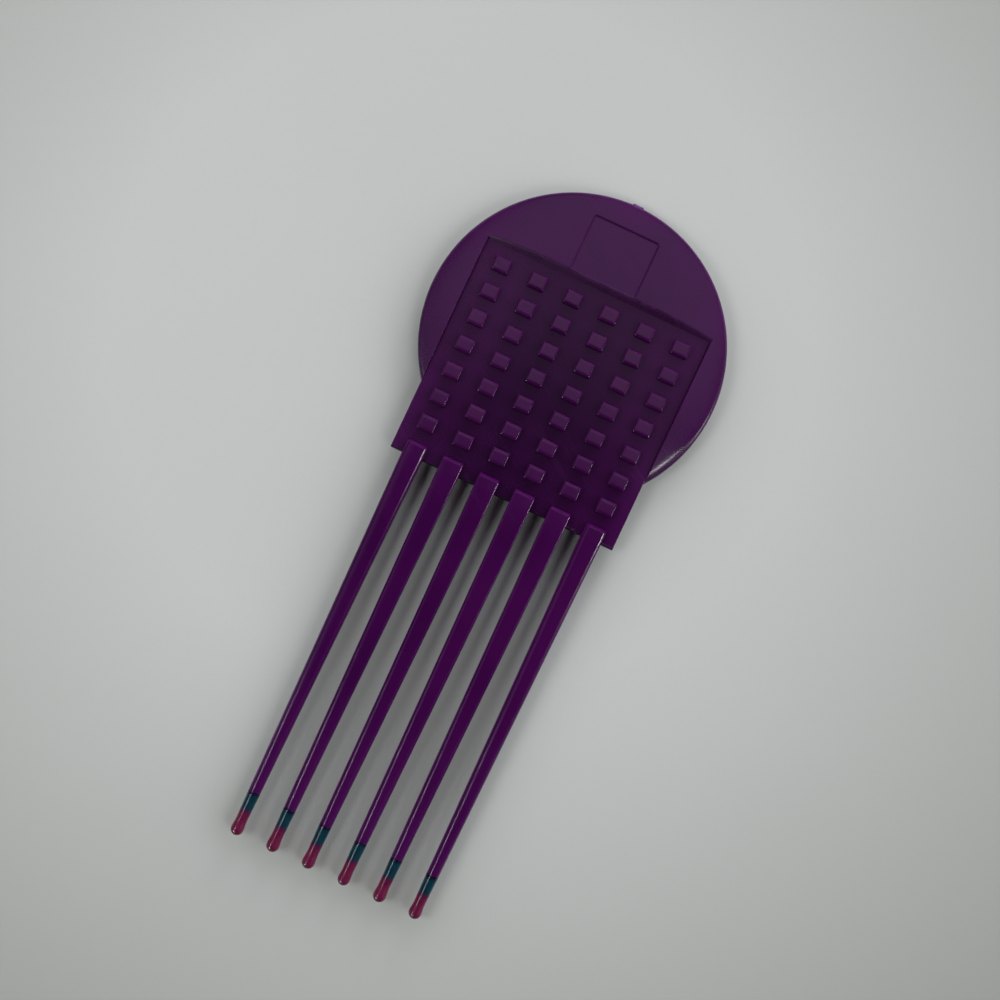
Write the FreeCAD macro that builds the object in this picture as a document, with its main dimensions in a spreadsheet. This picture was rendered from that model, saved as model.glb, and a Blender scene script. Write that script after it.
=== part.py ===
import FreeCAD, Part
import math
import os
import Sketcher
from FreeCAD import Vector

# An afro pick, in millimetres: a round grip disc, a studded plate let into it, six tapering
# tines rooted in the plate, and the two dip coats on every tine end.
# The whole pick is centred on X = Y = 0, with its tines towards -Y and its back on Z = 0.
# Both faces are alike about the mid-plane, apart from the sunk square on the front.

TINES = 6

SIZES = {
    "disc_diameter": (74.4, "grip disc across"),
    "plateau_diameter": (42.0, "flat middle of the disc's crowned faces"),
    "crown_height": (1.3, "rise of each crowned face from the rim to the flat middle"),
    "rim_thickness": (2.4, "disc at its rim"),
    "rim_round": (0.9, "rounding of the rim's two edges"),
    "gate_width": (2.2, "moulding gate mark along the rim"),
    "gate_thickness": (1.2, "moulding gate mark across the rim"),
    "gate_height": (0.35, "how far the gate mark stands off the rim"),
    "square_width": (16.9, "plain sunk square above the plate, across"),
    "square_length": (14.4, "plain sunk square, from the plate upwards"),
    "square_depth": (0.22, "plain sunk square below the crowned face"),
    "plate_inset": (7.8, "disc's rim to the plate's side, on the disc's widest line"),
    "plate_length": (56.7, "studded plate from its upper to its lower edge"),
    "plate_rise": (16.4, "plate's upper edge above the disc's centre"),
    "plate_thickness": (2.0, "plate between its two floors"),
    "plate_edge_round": (0.7, "rounding of the plate's lower edge"),
    "stud_width": (4.6, "stud's foot across"),
    "stud_length": (3.9, "stud's foot along the plate"),
    "stud_height": (1.45, "stud above the plate's floor"),
    "stud_draft": (7.0, "slope of a stud's sides, in degrees"),
    "stud_margin": (6.05, "plate's upper edge to the middle of the first stud row"),
    "stud_row_pitch": (7.0, "stud row to stud row"),
    "stud_room": (6.0, "least room between the last stud row and the plate's lower edge"),
    "tine_margin": (3.075, "outer tine's root to the plate's side"),
    "root_width": (5.35, "tine root across"),
    "root_height": (1.45, "tine root above the plate's floor"),
    "root_overlap": (3.65, "tine root's length within the plate"),
    "root_corner": (0.6, "rounding along the root's edges"),
    "root_bevel": (0.6, "bevel on the root's square end"),
    "tine_length": (89.1, "plate's lower edge to the dip coats"),
    "tine_end_width": (3.05, "tine across where the dip coats begin"),
    "tine_end_flat": (0.3, "flats left on the nearly round tine end"),
    "core_taper": (0.25, "loss of radius along the coated core"),
    "teal_coat": (0.15, "thickness of the first dip coat"),
    "teal_band": (4.6, "length of the first coat that stays in sight"),
    "red_coat": (0.08, "thickness of the second dip coat at its edge"),
    "red_length": (6.8, "second coat from its edge to the tip"),
    "red_end": (0.5, "second coat's thickness at the tip"),
    "bead_swell": (0.13, "bead of the second coat beyond its neck"),
    "bead_flare": (2.2, "length over which the neck widens to the bead"),
}

# Sizes worked out from the sheet, written as expressions
DISC_RADIUS = "(sizes.disc_diameter / 2)"
PLATEAU_RADIUS = "(sizes.plateau_diameter / 2)"
RIM_HALF = "(sizes.rim_thickness / 2)"
DISC_HALF = f"({RIM_HALF} + sizes.crown_height)"
CROWN_RUN = f"({DISC_RADIUS} - {PLATEAU_RADIUS})"
CROWN_RADIUS = f"(({CROWN_RUN}^2 + sizes.crown_height^2) / (2 * sizes.crown_height))"
PLATE_HALF = "(sizes.plate_thickness / 2)"
PLATE_SIDE = f"({DISC_RADIUS} - sizes.plate_inset)"
PLATE_BOTTOM = "(sizes.plate_length - sizes.plate_rise)"
STUD_SPACE = "(sizes.plate_length - sizes.stud_margin - sizes.stud_room)"
STUD_ROW_STEPS = f"floor({STUD_SPACE} / sizes.stud_row_pitch)"
ROOT_START = f"({PLATE_BOTTOM} - sizes.root_overlap)"
ROOT_SIDE = "(sizes.root_width / 2)"
ROOT_HALF = f"({PLATE_HALF} + sizes.root_height)"
TINE_PITCH = f"(2 * ({PLATE_SIDE} - sizes.tine_margin - {ROOT_SIDE}) / {TINES - 1})"
TINE_END = f"({PLATE_BOTTOM} + sizes.tine_length)"
TINE_END_RADIUS = "(sizes.tine_end_width / 2)"
BAND_END = f"({TINE_END} + sizes.teal_band)"
REACH = f"({BAND_END} + sizes.red_length)"
CORE_RADIUS = f"({TINE_END_RADIUS} - sizes.teal_coat)"
CORE_TIP_RADIUS = f"({CORE_RADIUS} - sizes.core_taper)"
CORE_END = f"({REACH} - sizes.red_end - sizes.teal_coat)"
CORE_ROUND = f"({CORE_END} - {CORE_TIP_RADIUS})"
TEAL_TIP_RADIUS = f"({CORE_TIP_RADIUS} + sizes.teal_coat)"
TEAL_END = f"({CORE_END} + sizes.teal_coat)"
BAND_LOSS = f"(sizes.core_taper * sizes.teal_band / ({CORE_ROUND} - {TINE_END}))"
BAND_RADIUS = f"({TINE_END_RADIUS} - {BAND_LOSS})"
NECK_RADIUS = f"({BAND_RADIUS} + sizes.red_coat)"
BEAD_RADIUS = f"({NECK_RADIUS} + sizes.bead_swell)"
BEAD_CENTRE = f"({REACH} - {BEAD_RADIUS})"
DISC_PLACE = f"(({REACH} - {DISC_RADIUS} - sizes.gate_height) / 2)"

# Sketcher's own numbers: 1 to 3 for an edge's ends and centre, -1 and -2 for a sketch's axes
START, END, CENTRE = range(1, 4)
X_AXIS, Y_AXIS = range(-1, -3, -1)


def fill_sheet(doc):
    """One row for each driving size: its meaning, and its value under its own name."""
    sheet = doc.addObject("Spreadsheet::Sheet", "sizes")
    for row, (name, (value, meaning)) in enumerate(SIZES.items(), start=1):
        sheet.set(f"A{row}", meaning)
        sheet.set(f"B{row}", str(value))
        sheet.setAlias(f"B{row}", name)
    doc.recompute()


def crown_level(distance):
    """Height of the crowned face above the mid-plane, at a distance from the disc's centre."""
    fall = f"({CROWN_RADIUS} - sqrt({CROWN_RADIUS}^2 - ({distance} - {PLATEAU_RADIUS})^2))"
    return f"({DISC_HALF} - {fall})"


def tine_place(number):
    """X of a tine and of the stud column above it, counted from the left."""
    return f"({number - (TINES - 1) / 2} * {TINE_PITCH})"


def new_piece(doc, name, across="0"):
    """An empty body, drawn about the mid-plane and from the disc's centre."""
    body = doc.addObject("PartDesign::Body", name)
    body.Label = name
    body.setExpression("Placement.Base.x", across)
    body.setExpression("Placement.Base.y", DISC_PLACE)
    body.setExpression("Placement.Base.z", DISC_HALF)
    return body


def sketch_on(body, name, plane, shift="0"):
    """An empty sketch on one of the body's own planes, shifted along the plane's normal."""
    sketch = body.newObject("Sketcher::SketchObject", name)
    support = next(item for item in body.Origin.OriginFeatures if item.Role == plane)
    sketch.AttachmentSupport = (support, [""])
    sketch.MapMode = "FlatFace"
    sketch.setExpression("AttachmentOffset.Base.z", shift)
    return sketch


def tie(sketch, kind, axis, edge, point, place):
    """Tie one coordinate of a point to its expression, or set the point on the axis at zero."""
    if place == "0":
        sketch.addConstraint(Sketcher.Constraint("PointOnObject", edge, point, axis))
        return
    value = float(sketch.evalExpression(place))
    number = sketch.addConstraint(Sketcher.Constraint(kind, X_AXIS, START, edge, point, value))
    sketch.setExpression(f"Constraints[{number}]", place)


def arc_between(here, there, centre_x):
    """The short arc between two points, and whether it runs from here to there."""
    chord = there - here
    middle = (here + there) / 2
    centre_y = middle.y - (centre_x - middle.x) * chord.x / chord.y
    centre = Vector(centre_x, centre_y, 0)
    forward = (here - centre).cross(there - centre).z > 0
    first, last = (here, there) if forward else (there, here)
    turn = [math.atan2(p.y - centre_y, p.x - centre_x) for p in (first, last)]
    if turn[1] < turn[0]:
        turn[1] += 2 * math.pi
    circle = Part.Circle(centre, Vector(0, 0, 1), (here - centre).Length)
    return Part.ArcOfCircle(circle, *turn), forward


def draw_outline(sketch, corners, arcs=None):
    """A closed outline through the corners. arcs gives the X of the centre of each side that
    is an arc, by the number of the corner where that side begins."""
    arcs = arcs or {}
    first = sketch.GeometryCount
    places = [Vector(*(float(sketch.evalExpression(part)) for part in corner), 0) for corner in corners]
    sides = []
    for number, here in enumerate(places):
        there = places[(number + 1) % len(places)]
        if number in arcs:
            shape, forward = arc_between(here, there, float(sketch.evalExpression(arcs[number])))
        else:
            shape, forward = Part.LineSegment(here, there), True
        edge = sketch.addGeometry(shape, False)
        sides.append((edge, START, END) if forward else (edge, END, START))
    for number, (across, along) in enumerate(corners):
        edge, near, _ = sides[number]
        before, _, far = sides[number - 1]
        sketch.addConstraint(Sketcher.Constraint("Coincident", before, far, edge, near))
        tie(sketch, "DistanceX", Y_AXIS, edge, near, across)
        tie(sketch, "DistanceY", X_AXIS, edge, near, along)
    for number, centre_x in arcs.items():
        tie(sketch, "DistanceX", Y_AXIS, first + number, CENTRE, centre_x)


def rectangle(left, right, low, high):
    """Corners of an upright rectangle."""
    return [(left, low), (right, low), (right, high), (left, high)]


def draw_rounded_section(sketch, side, half, corner):
    """A flat-topped section about the origin, with rounded edges."""
    flat_x = f"({side} - {corner})"
    flat_y = f"({half} - {corner})"
    corners = [
        (side, f"-{flat_y}"), (side, flat_y), (flat_x, half), (f"-{flat_x}", half),
        (f"-{side}", flat_y), (f"-{side}", f"-{flat_y}"), (f"-{flat_x}", f"-{half}"), (flat_x, f"-{half}"),
    ]
    draw_outline(sketch, corners, {1: flat_x, 3: f"-{flat_x}", 5: f"-{flat_x}", 7: flat_x})


def add_pad(body, name, sketch, length, symmetric=False):
    """Material raised from a sketch."""
    pad = body.newObject("PartDesign::Pad", name)
    pad.Profile = sketch
    pad.setExpression("Length", length)
    if symmetric:
        pad.SideType = "Symmetric"
    return pad


def add_pocket(body, name, sketch, length):
    """Material cut away to both sides of a sketch, which has to remove something."""
    body.Document.recompute()
    before = body.Shape.Volume
    pocket = body.newObject("PartDesign::Pocket", name)
    pocket.Profile = sketch
    pocket.SideType = "Symmetric"
    pocket.setExpression("Length", length)
    body.Document.recompute()
    if body.Shape.Volume >= before:
        raise RuntimeError(f"{body.Label}: {name} cuts nothing")
    return pocket


def add_turned(body, name, corners, arcs, plane):
    """Material turned about the sketch's upright axis."""
    sketch = sketch_on(body, f"{name}_profile", plane)
    draw_outline(sketch, corners, arcs)
    turned = body.newObject("PartDesign::Revolution", name)
    turned.Profile = sketch
    turned.ReferenceAxis = (sketch, ["V_Axis"])
    turned.Angle = 360
    return turned


def round_edges(body, name, base, wanted, radius):
    """Rounding on those edges of a feature that the test picks."""
    body.Document.recompute()
    edges = [f"Edge{number}" for number, edge in enumerate(base.Shape.Edges, start=1) if wanted(edge)]
    fillet = body.newObject("PartDesign::Fillet", name)
    fillet.Base = (base, edges)
    fillet.setExpression("Radius", radius)
    return fillet


def make_handle_disc(doc):
    """The lens-shaped grip disc, with the plate's notch, the sunk square and the gate mark."""
    body = new_piece(doc, "handle_disc")
    profile = [
        ("0", f"-{DISC_HALF}"), (PLATEAU_RADIUS, f"-{DISC_HALF}"), (DISC_RADIUS, f"-{RIM_HALF}"),
        (DISC_RADIUS, RIM_HALF), (PLATEAU_RADIUS, DISC_HALF), ("0", DISC_HALF),
    ]
    lens = add_turned(body, "lens", profile, {1: PLATEAU_RADIUS, 3: PLATEAU_RADIUS}, "XZ_Plane")
    rim = body.evalExpression(DISC_RADIUS)

    def on_rim(edge):
        return hasattr(edge.Curve, "Radius") and abs(edge.Curve.Radius - rim) < 1e-6

    round_edges(body, "rim_rounding", lens, on_rim, "min(sizes.rim_round; 0.45 * sizes.rim_thickness)")

    gate = sketch_on(body, "gate_outline", "XY_Plane")
    gate_side = "(sizes.gate_width / 2)"
    gate_foot = f"({DISC_RADIUS} - sizes.rim_round)"
    gate_top = f"({DISC_RADIUS} + sizes.gate_height)"
    draw_outline(gate, rectangle(f"-{gate_side}", gate_side, gate_foot, gate_top))
    add_pad(body, "gate_mark", gate, "sizes.gate_thickness", symmetric=True)

    notch = sketch_on(body, "notch_outline", "XY_Plane")
    below_disc = "-sizes.disc_diameter"
    draw_outline(notch, rectangle(f"-{PLATE_SIDE}", PLATE_SIDE, below_disc, "sizes.plate_rise"))
    add_pocket(body, "plate_notch", notch, f"4 * {DISC_HALF}")

    square = sketch_on(body, "square_profile", "YZ_Plane")
    square_top = "(sizes.plate_rise + sizes.square_length)"
    above_face = f"({DISC_HALF} + sizes.square_depth)"
    outline = [
        ("sizes.plate_rise", f"({crown_level('sizes.plate_rise')} - sizes.square_depth)"),
        (square_top, f"({crown_level(square_top)} - sizes.square_depth)"),
        (square_top, above_face), ("sizes.plate_rise", above_face),
    ]
    draw_outline(square, outline, {0: PLATEAU_RADIUS})
    add_pocket(body, "sunk_square", square, "sizes.square_width")
    return body


def make_stud_plate(doc):
    """The plate with a notch for each tine root, and drafted studs on both of its faces."""
    body = new_piece(doc, "stud_plate")
    outline = sketch_on(body, "plate_outline", "XY_Plane")
    corners = [(f"-{PLATE_SIDE}", "sizes.plate_rise"), (f"-{PLATE_SIDE}", f"-{PLATE_BOTTOM}")]
    for number in range(TINES):
        left = f"({tine_place(number)} - {ROOT_SIDE})"
        right = f"({tine_place(number)} + {ROOT_SIDE})"
        corners += [(left, f"-{PLATE_BOTTOM}"), (left, f"-{ROOT_START}")]
        corners += [(right, f"-{ROOT_START}"), (right, f"-{PLATE_BOTTOM}")]
    corners += [(PLATE_SIDE, f"-{PLATE_BOTTOM}"), (PLATE_SIDE, "sizes.plate_rise")]
    draw_outline(outline, corners)
    plate = add_pad(body, "plate", outline, "sizes.plate_thickness", symmetric=True)
    bottom = -body.evalExpression(PLATE_BOTTOM)

    def on_lower_edge(edge):
        ends = [vertex.Point for vertex in edge.Vertexes]
        level = abs(ends[0].z - ends[-1].z) < 1e-6
        return level and all(abs(point.y - bottom) < 1e-6 for point in ends)

    rounding = "min(sizes.plate_edge_round; 0.45 * sizes.plate_thickness)"
    round_edges(body, "edge_rounding", plate, on_lower_edge, rounding)

    foot = sketch_on(body, "stud_foot", "XY_Plane", PLATE_HALF)
    left, row = tine_place(0), "(sizes.plate_rise - sizes.stud_margin)"
    across, along = "sizes.stud_width / 2", "sizes.stud_length / 2"
    sides = [f"({left} - {across})", f"({left} + {across})", f"({row} - {along})", f"({row} + {along})"]
    draw_outline(foot, rectangle(*sides))
    stud = add_pad(body, "stud", foot, "sizes.stud_height")
    stud.setExpression("TaperAngle", "-sizes.stud_draft")
    doc.recompute()

    studs = body.newObject("PartDesign::MultiTransform", "studs")
    studs.Originals = [stud]
    columns = body.newObject("PartDesign::LinearPattern", "stud_columns")
    columns.Direction = (foot, ["H_Axis"])
    columns.setExpression("Length", f"{TINES - 1} * {TINE_PITCH}")
    columns.Occurrences = TINES
    rows = body.newObject("PartDesign::LinearPattern", "stud_rows")
    rows.Direction = (foot, ["V_Axis"])
    rows.Reversed = True
    row_steps = int(body.evalExpression(STUD_ROW_STEPS))
    rows.setExpression("Length", f"{row_steps} * sizes.stud_row_pitch")
    rows.Occurrences = row_steps + 1
    back = body.newObject("PartDesign::Mirrored", "back_studs")
    mid_plane = next(item for item in body.Origin.OriginFeatures if item.Role == "XY_Plane")
    back.MirrorPlane = (mid_plane, [""])
    studs.Transformations = [columns, rows, back]
    body.Tip = studs
    return body


def make_tine(doc, number):
    """A tine: a raised flat-topped root, a long taper that turns round, and the coated core."""
    body = new_piece(doc, f"tine_{number + 1}", tine_place(number))
    sections = {}
    for name, distance in (("root_end", ROOT_START), ("root_face", PLATE_BOTTOM)):
        sections[name] = sketch_on(body, name, "XZ_Plane", distance)
        draw_rounded_section(sections[name], ROOT_SIDE, ROOT_HALF, "sizes.root_corner")
    sections["tine_end"] = sketch_on(body, "tine_end", "XZ_Plane", TINE_END)
    end_corner = f"({TINE_END_RADIUS} - sizes.tine_end_flat / 2)"
    draw_rounded_section(sections["tine_end"], TINE_END_RADIUS, TINE_END_RADIUS, end_corner)

    add_pad(body, "root", sections["root_end"], "sizes.root_overlap")
    taper = body.newObject("PartDesign::AdditiveLoft", "taper")
    taper.Profile = sections["root_face"]
    taper.Sections = [sections["tine_end"]]
    taper.Ruled = True
    core = [
        ("0", f"-{TINE_END}"), (CORE_RADIUS, f"-{TINE_END}"),
        (CORE_TIP_RADIUS, f"-{CORE_ROUND}"), ("0", f"-{CORE_END}"),
    ]
    add_turned(body, "core", core, {2: "0"}, "XY_Plane")

    bevel = sketch_on(body, "bevel_profile", "YZ_Plane")
    back_of_bevel = f"-({ROOT_START} + sizes.root_bevel)"
    for sign in ("", "-"):
        level, below = f"{sign}{ROOT_HALF}", f"{sign}({ROOT_HALF} - sizes.root_bevel)"
        draw_outline(bevel, [(f"-{ROOT_START}", level), (back_of_bevel, level), (f"-{ROOT_START}", below)])
    add_pocket(body, "root_bevels", bevel, "2 * sizes.root_width")
    return body


def make_teal_coat(doc, number):
    """The first dip coat, a thin cap over the whole core, flush with the tine's end."""
    body = new_piece(doc, f"teal_coat_{number + 1}", tine_place(number))
    profile = [
        (CORE_RADIUS, f"-{TINE_END}"), (TINE_END_RADIUS, f"-{TINE_END}"),
        (TEAL_TIP_RADIUS, f"-{CORE_ROUND}"), ("0", f"-{TEAL_END}"),
        ("0", f"-{CORE_END}"), (CORE_TIP_RADIUS, f"-{CORE_ROUND}"),
    ]
    add_turned(body, "coat", profile, {2: "0", 4: "0"}, "XY_Plane")
    return body


def make_red_tip(doc, number):
    """The second dip coat over the end of the first, drawn out into a bead."""
    body = new_piece(doc, f"red_tip_{number + 1}", tine_place(number))
    profile = [
        (BAND_RADIUS, f"-{BAND_END}"), (NECK_RADIUS, f"-{BAND_END}"),
        (NECK_RADIUS, f"-({BEAD_CENTRE} - sizes.bead_flare)"), (BEAD_RADIUS, f"-{BEAD_CENTRE}"),
        ("0", f"-{REACH}"), ("0", f"-{TEAL_END}"), (TEAL_TIP_RADIUS, f"-{CORE_ROUND}"),
    ]
    add_turned(body, "coat", profile, {3: "0", 5: "0"}, "XY_Plane")
    return body


def check(doc, pieces):
    """Stop if any object failed, or if a piece isn't one valid solid."""
    for item in doc.Objects:
        if "Invalid" in item.State or "Error" in item.State:
            raise RuntimeError(f"{item.Label} failed: {item.State}")
    for piece in pieces:
        if piece.Shape.isNull() or not piece.Shape.isValid() or len(piece.Shape.Solids) != 1:
            raise RuntimeError(f"{piece.Label} is not one valid solid")


def main():
    doc = FreeCAD.newDocument("AfroPick")
    fill_sheet(doc)
    pieces = [make_handle_disc(doc), make_stud_plate(doc)]
    for make in (make_tine, make_teal_coat, make_red_tip):
        pieces += [make(doc, number) for number in range(TINES)]
    doc.recompute()
    check(doc, pieces)
    os.makedirs("parts", exist_ok=True)
    for piece in pieces:
        piece.Shape.exportStep(f"parts/{piece.Label}.step")
        box = piece.Shape.BoundBox
        print(f"{piece.Label}: {piece.Shape.Volume:.2f} mm3, "
              f"X {box.XMin:.2f} to {box.XMax:.2f}, Y {box.YMin:.2f} to {box.YMax:.2f}, "
              f"Z {box.ZMin:.2f} to {box.ZMax:.2f}")


main()
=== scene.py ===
import math
import random

import bmesh
import bpy
from mathutils import Matrix, Vector, noise
from mathutils.geometry import delaunay_2d_cdt


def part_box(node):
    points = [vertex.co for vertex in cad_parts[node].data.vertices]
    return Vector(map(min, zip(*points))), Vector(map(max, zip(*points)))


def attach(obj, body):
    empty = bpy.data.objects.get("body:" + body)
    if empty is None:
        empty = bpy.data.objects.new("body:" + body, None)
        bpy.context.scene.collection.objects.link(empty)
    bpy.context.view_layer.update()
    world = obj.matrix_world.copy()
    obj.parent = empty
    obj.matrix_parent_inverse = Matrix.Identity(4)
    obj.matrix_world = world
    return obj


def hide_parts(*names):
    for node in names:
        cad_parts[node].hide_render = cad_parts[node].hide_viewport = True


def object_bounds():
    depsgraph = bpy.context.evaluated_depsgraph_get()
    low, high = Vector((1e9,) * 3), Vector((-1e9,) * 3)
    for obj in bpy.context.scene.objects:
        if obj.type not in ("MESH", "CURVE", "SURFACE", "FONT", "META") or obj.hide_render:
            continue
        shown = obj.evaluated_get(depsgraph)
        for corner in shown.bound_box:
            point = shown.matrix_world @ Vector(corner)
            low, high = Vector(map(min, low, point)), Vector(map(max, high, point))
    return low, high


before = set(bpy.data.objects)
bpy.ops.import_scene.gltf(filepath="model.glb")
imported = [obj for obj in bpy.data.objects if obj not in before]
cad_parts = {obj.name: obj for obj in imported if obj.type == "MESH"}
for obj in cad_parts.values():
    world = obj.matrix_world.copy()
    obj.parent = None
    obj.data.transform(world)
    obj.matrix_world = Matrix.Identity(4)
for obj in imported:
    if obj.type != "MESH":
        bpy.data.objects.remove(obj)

MM = 0.001
cad_box = [[float(value) for value in corner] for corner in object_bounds()]

# Places and outer sizes, read from the CAD pieces
TINES = sum(node.startswith("tine_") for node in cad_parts)
disc_low, disc_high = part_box("handle_disc")
plate_low, plate_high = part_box("stud_plate")
tine_boxes = [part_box(f"tine_{n + 1}") for n in range(TINES)]
teal_boxes = [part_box(f"teal_coat_{n + 1}") for n in range(TINES)]
red_boxes = [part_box(f"red_tip_{n + 1}") for n in range(TINES)]
TINE_PLACES = [(low.x + high.x) / 2 for low, high in tine_boxes]
MID = (disc_low.z + disc_high.z) / 2
FACE = disc_high.z - MID
PLATE_BOTTOM = plate_low.y
PLATE_TOP = plate_high.y
PLATE_SIDE = plate_high.x
ROOT_START = tine_boxes[0][1].y
ROOT_HALF_WIDTH = (tine_boxes[0][1].x - tine_boxes[0][0].x) / 2
ROOT_HALF_HEIGHT = (tine_boxes[0][1].z - tine_boxes[0][0].z) / 2
BAND_START = teal_boxes[0][1].y
BAND_END = red_boxes[0][1].y
TIP_END = red_boxes[0][0].y

# Studded plate
PLATE_THICKNESS = 2.0 * MM
PLATE_EDGE_ROUND = 0.7 * MM
PLATE_SIDE_ROUND = 0.2 * MM
PLATE_LONG_EDGE = 20.0 * MM
STUD_ROWS = 7
STUD_ROW_PITCH = 7.0 * MM
STUD_MARGIN = 6.05 * MM
STUD_WIDTH = 4.6 * MM
STUD_LENGTH = 3.9 * MM
STUD_DRAFT = 0.18 * MM
STUD_ROUND = 0.36 * MM
STUD_HEIGHT = plate_high.z - MID - PLATE_THICKNESS / 2

# How far the studs are out of true: shift, turn about each axis in radians, and scale
STUD_SHIFT = 0.07 * MM
STUD_TURN = (0.006, 0.006, 0.02)
STUD_LEAST_SCALE = (0.97, 0.96, 0.985)
STUD_MOST_SCALE = (1.02, 1.03, 1.0)
STUD_SEED = 4

# Grip disc, with angles in degrees
GATE_HEIGHT = 0.35 * MM
GATE_WIDTH = 2.8 * MM
GATE_THICKNESS = 1.2 * MM
GATE_ROUND = 0.3 * MM
GATE_WEAR = 6.0
DISC_RADIUS = (disc_high.x - disc_low.x) / 2
DISC_PLACE = disc_high.y - GATE_HEIGHT - DISC_RADIUS
PLATEAU_RADIUS = 21.0 * MM
CROWN_HEIGHT = 1.3 * MM
CROWN_RUN = DISC_RADIUS - PLATEAU_RADIUS
CROWN_RADIUS = (CROWN_RUN ** 2 + CROWN_HEIGHT ** 2) / (2 * CROWN_HEIGHT)
RIM_ROUND = 1.0 * MM
RIM_WEAR = 0.35
SHOULDER_EXTRA = 1.3 * MM
SHOULDER_ANGLE = -27.0
SHOULDER_SPREAD = 20.0
NOTCH_DEPTH = FACE - PLATE_THICKNESS / 2
NOTCH_TOP = PLATE_TOP - DISC_PLACE
NOTCH_RUN = 1.5 * MM
NOTCH_FOOT = NOTCH_TOP - NOTCH_RUN
NOTCH_SIDE_RUN = 0.3 * MM
NOTCH_ROUND = 0.25 * MM
NOTCH_WEAR = 0.5
SQUARE_WIDTH = 16.9 * MM
SQUARE_LENGTH = 14.4 * MM
SQUARE_DEPTH = 0.22 * MM
SQUARE_STEP = 0.35 * MM
SQUARE_CORNER = 0.6 * MM
LEAST_HALF = 0.02 * MM

# Spacing of the points that the disc's faces are drawn through
RIM_SPACING = math.radians(0.9)
RIM_BENDS = range(15, 91, 15)
RIM_CLEARANCE = 0.02 * MM
RIM_TO_RING = 0.6 * MM
RING_SPACING = 1.3 * MM
RING_MOST_ANGLE = math.radians(2.0)
INNERMOST_RING = 17.0 * MM
NOTCH_SIDE_SPACING = 0.8 * MM
NOTCH_TOP_SPACING = 0.6 * MM
NOTCH_WALL_SHARES = (0.1, 0.2, 0.3, 0.4, 0.5, 0.6, 0.7, 0.8, 0.9, 1.0, 1.1, 1.2, 1.35)
SQUARE_SPACING = 0.5 * MM
SQUARE_LINE_START = NOTCH_TOP + 0.6 * MM
SQUARE_LEVEL = 0.01 * MM
SQUARE_STEP_SHARES = (-1.2, -0.8, -0.4, 0.0, 0.4, 0.8, 1.2)

# Tines
ROOT_OVERLAP = ROOT_START - PLATE_BOTTOM
ROOT_CORNER = 0.4 * MM
OUTER_ROOT_CORNER = 1.1 * MM
ROOT_BEVEL = 0.6 * MM
TINE_END_RADIUS = 1.525 * MM
TINE_WIDENING = 0.0124
TINE_BOW = 0.15 * MM
TINE_SEED = 11
TINE_AROUND = 40
TINE_ALONG = 110
CORE_STEP = 0.2 * MM
CORE_LENGTH = 3.0 * MM
CORE_TAPER = 0.125 * MM

# Dipped ends. Rings of the blue-green coat are shares of its length
PAINT_STEP = 0.03 * MM
PAINT_FADE = 1.5 * MM
COAT_SEED = 5
COAT_AROUND = 36
TEAL_RISE = 0.1 * MM
TEAL_STRAY = 0.55 * MM
TEAL_EDGE = 0.25 * MM
TEAL_UNDER_RED = 0.9 * MM
TEAL_RINGS = [0.0, 0.01, 0.02, 0.035, 0.05, 0.08, 0.12, 0.2, 0.35, 0.5, 0.65, 0.8, 1.0]
RED_STRAY = 0.3 * MM
RED_EDGE = 0.35 * MM
RED_RINGS = 22
BEAD_RINGS = 15
BEAD_SWELL = 0.13 * MM
BEAD_SWELL_STRAY = (-0.03 * MM, 0.05 * MM)
BEAD_FLARE = 2.6 * MM
BEAD_FLARE_STRAY = (-0.4 * MM, 0.5 * MM)

# Table and view
TABLE_HALF = 6.0
VIEW_TURN = math.radians(25.2)
VIEW_CENTRE = Vector((-0.1 * MM, 10.9 * MM))
VIEW_FIELD = 240.7 * MM
VIEW_ANGLE = math.radians(40)
# The table's colour carries painted light and shade: lightest within a radius of a place beside the pick,
# darkening out to a farther radius.
TABLE_PAINTED_LIGHT_PLACE = (VIEW_CENTRE.x - 25 * MM, VIEW_CENTRE.y + 30 * MM, 0.0)
TABLE_PAINTED_LIGHT_RADIUS = 85 * MM
TABLE_PAINTED_SHADE_RADIUS = 220 * MM

# Colours
REDDER_PURPLE = (0.05, 0.004, 0.05, 1.0)
# PALER_PURPLE is painted light on the panel's margins, and the paler tone toward the tines' ends.
PALER_PURPLE = (0.05, 0.003, 0.06, 1.0)
RUBBED_PURPLE = (0.16, 0.065, 0.2, 1.0)
TABLE_GREY = (0.55, 0.565, 0.55, 1.0)
TABLE_LIGHT_GREY = (0.58, 0.59, 0.575, 1.0)
# Darker grey painted on the table far from the pick, as painted shade.
TABLE_PAINTED_SHADE_GREY = (0.31, 0.32, 0.3, 1.0)
ROOM_WHITE = (0.96, 0.985, 1.0, 1.0)

# Lights, with angles in degrees and lengths in metres. The spot touches the shoulder of the rim
ROOM_STRENGTH = 5.1
BACKDROP_STRENGTH = 0.33
SOFTBOXES = (
    # name, azimuth, height angle, distance, width, height, power, what it lights
    ("ceiling_sheet", 84, 65.5, 1.15, 1.0, 0.8, 1.85, "gloss"),
    ("left_sheet", 180, 66, 1.15, 0.6, 0.68, 0.4, "gloss"),
    ("foot_sheet", 270, 30, 1.2, 1.0, 0.3, 0.5, "gloss"),
    ("top_lamp", 92, 12, 1.1, 0.5, 0.2, 4.5, "body"),
    ("left_soft", 202, 46, 1.1, 0.5, 0.5, 3.3, "body"),
    ("right_soft", 338, 45, 1.1, 0.5, 0.5, 2.6, "body"),
    ("left_tube", 211, 48, 1.13, 0.24, 0.03, 1.25, "gloss"),
    ("right_lamp", 2, 28, 1.1, 0.09, 0.22, 3.2, "gloss"),
    ("bead_lamp", 240, 24, 1.1, 0.36, 0.1, 6.5, "gloss"),
)
SPOT_TARGET = Vector((30.6 * MM, DISC_PLACE - 18.2 * MM, MID))
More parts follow.
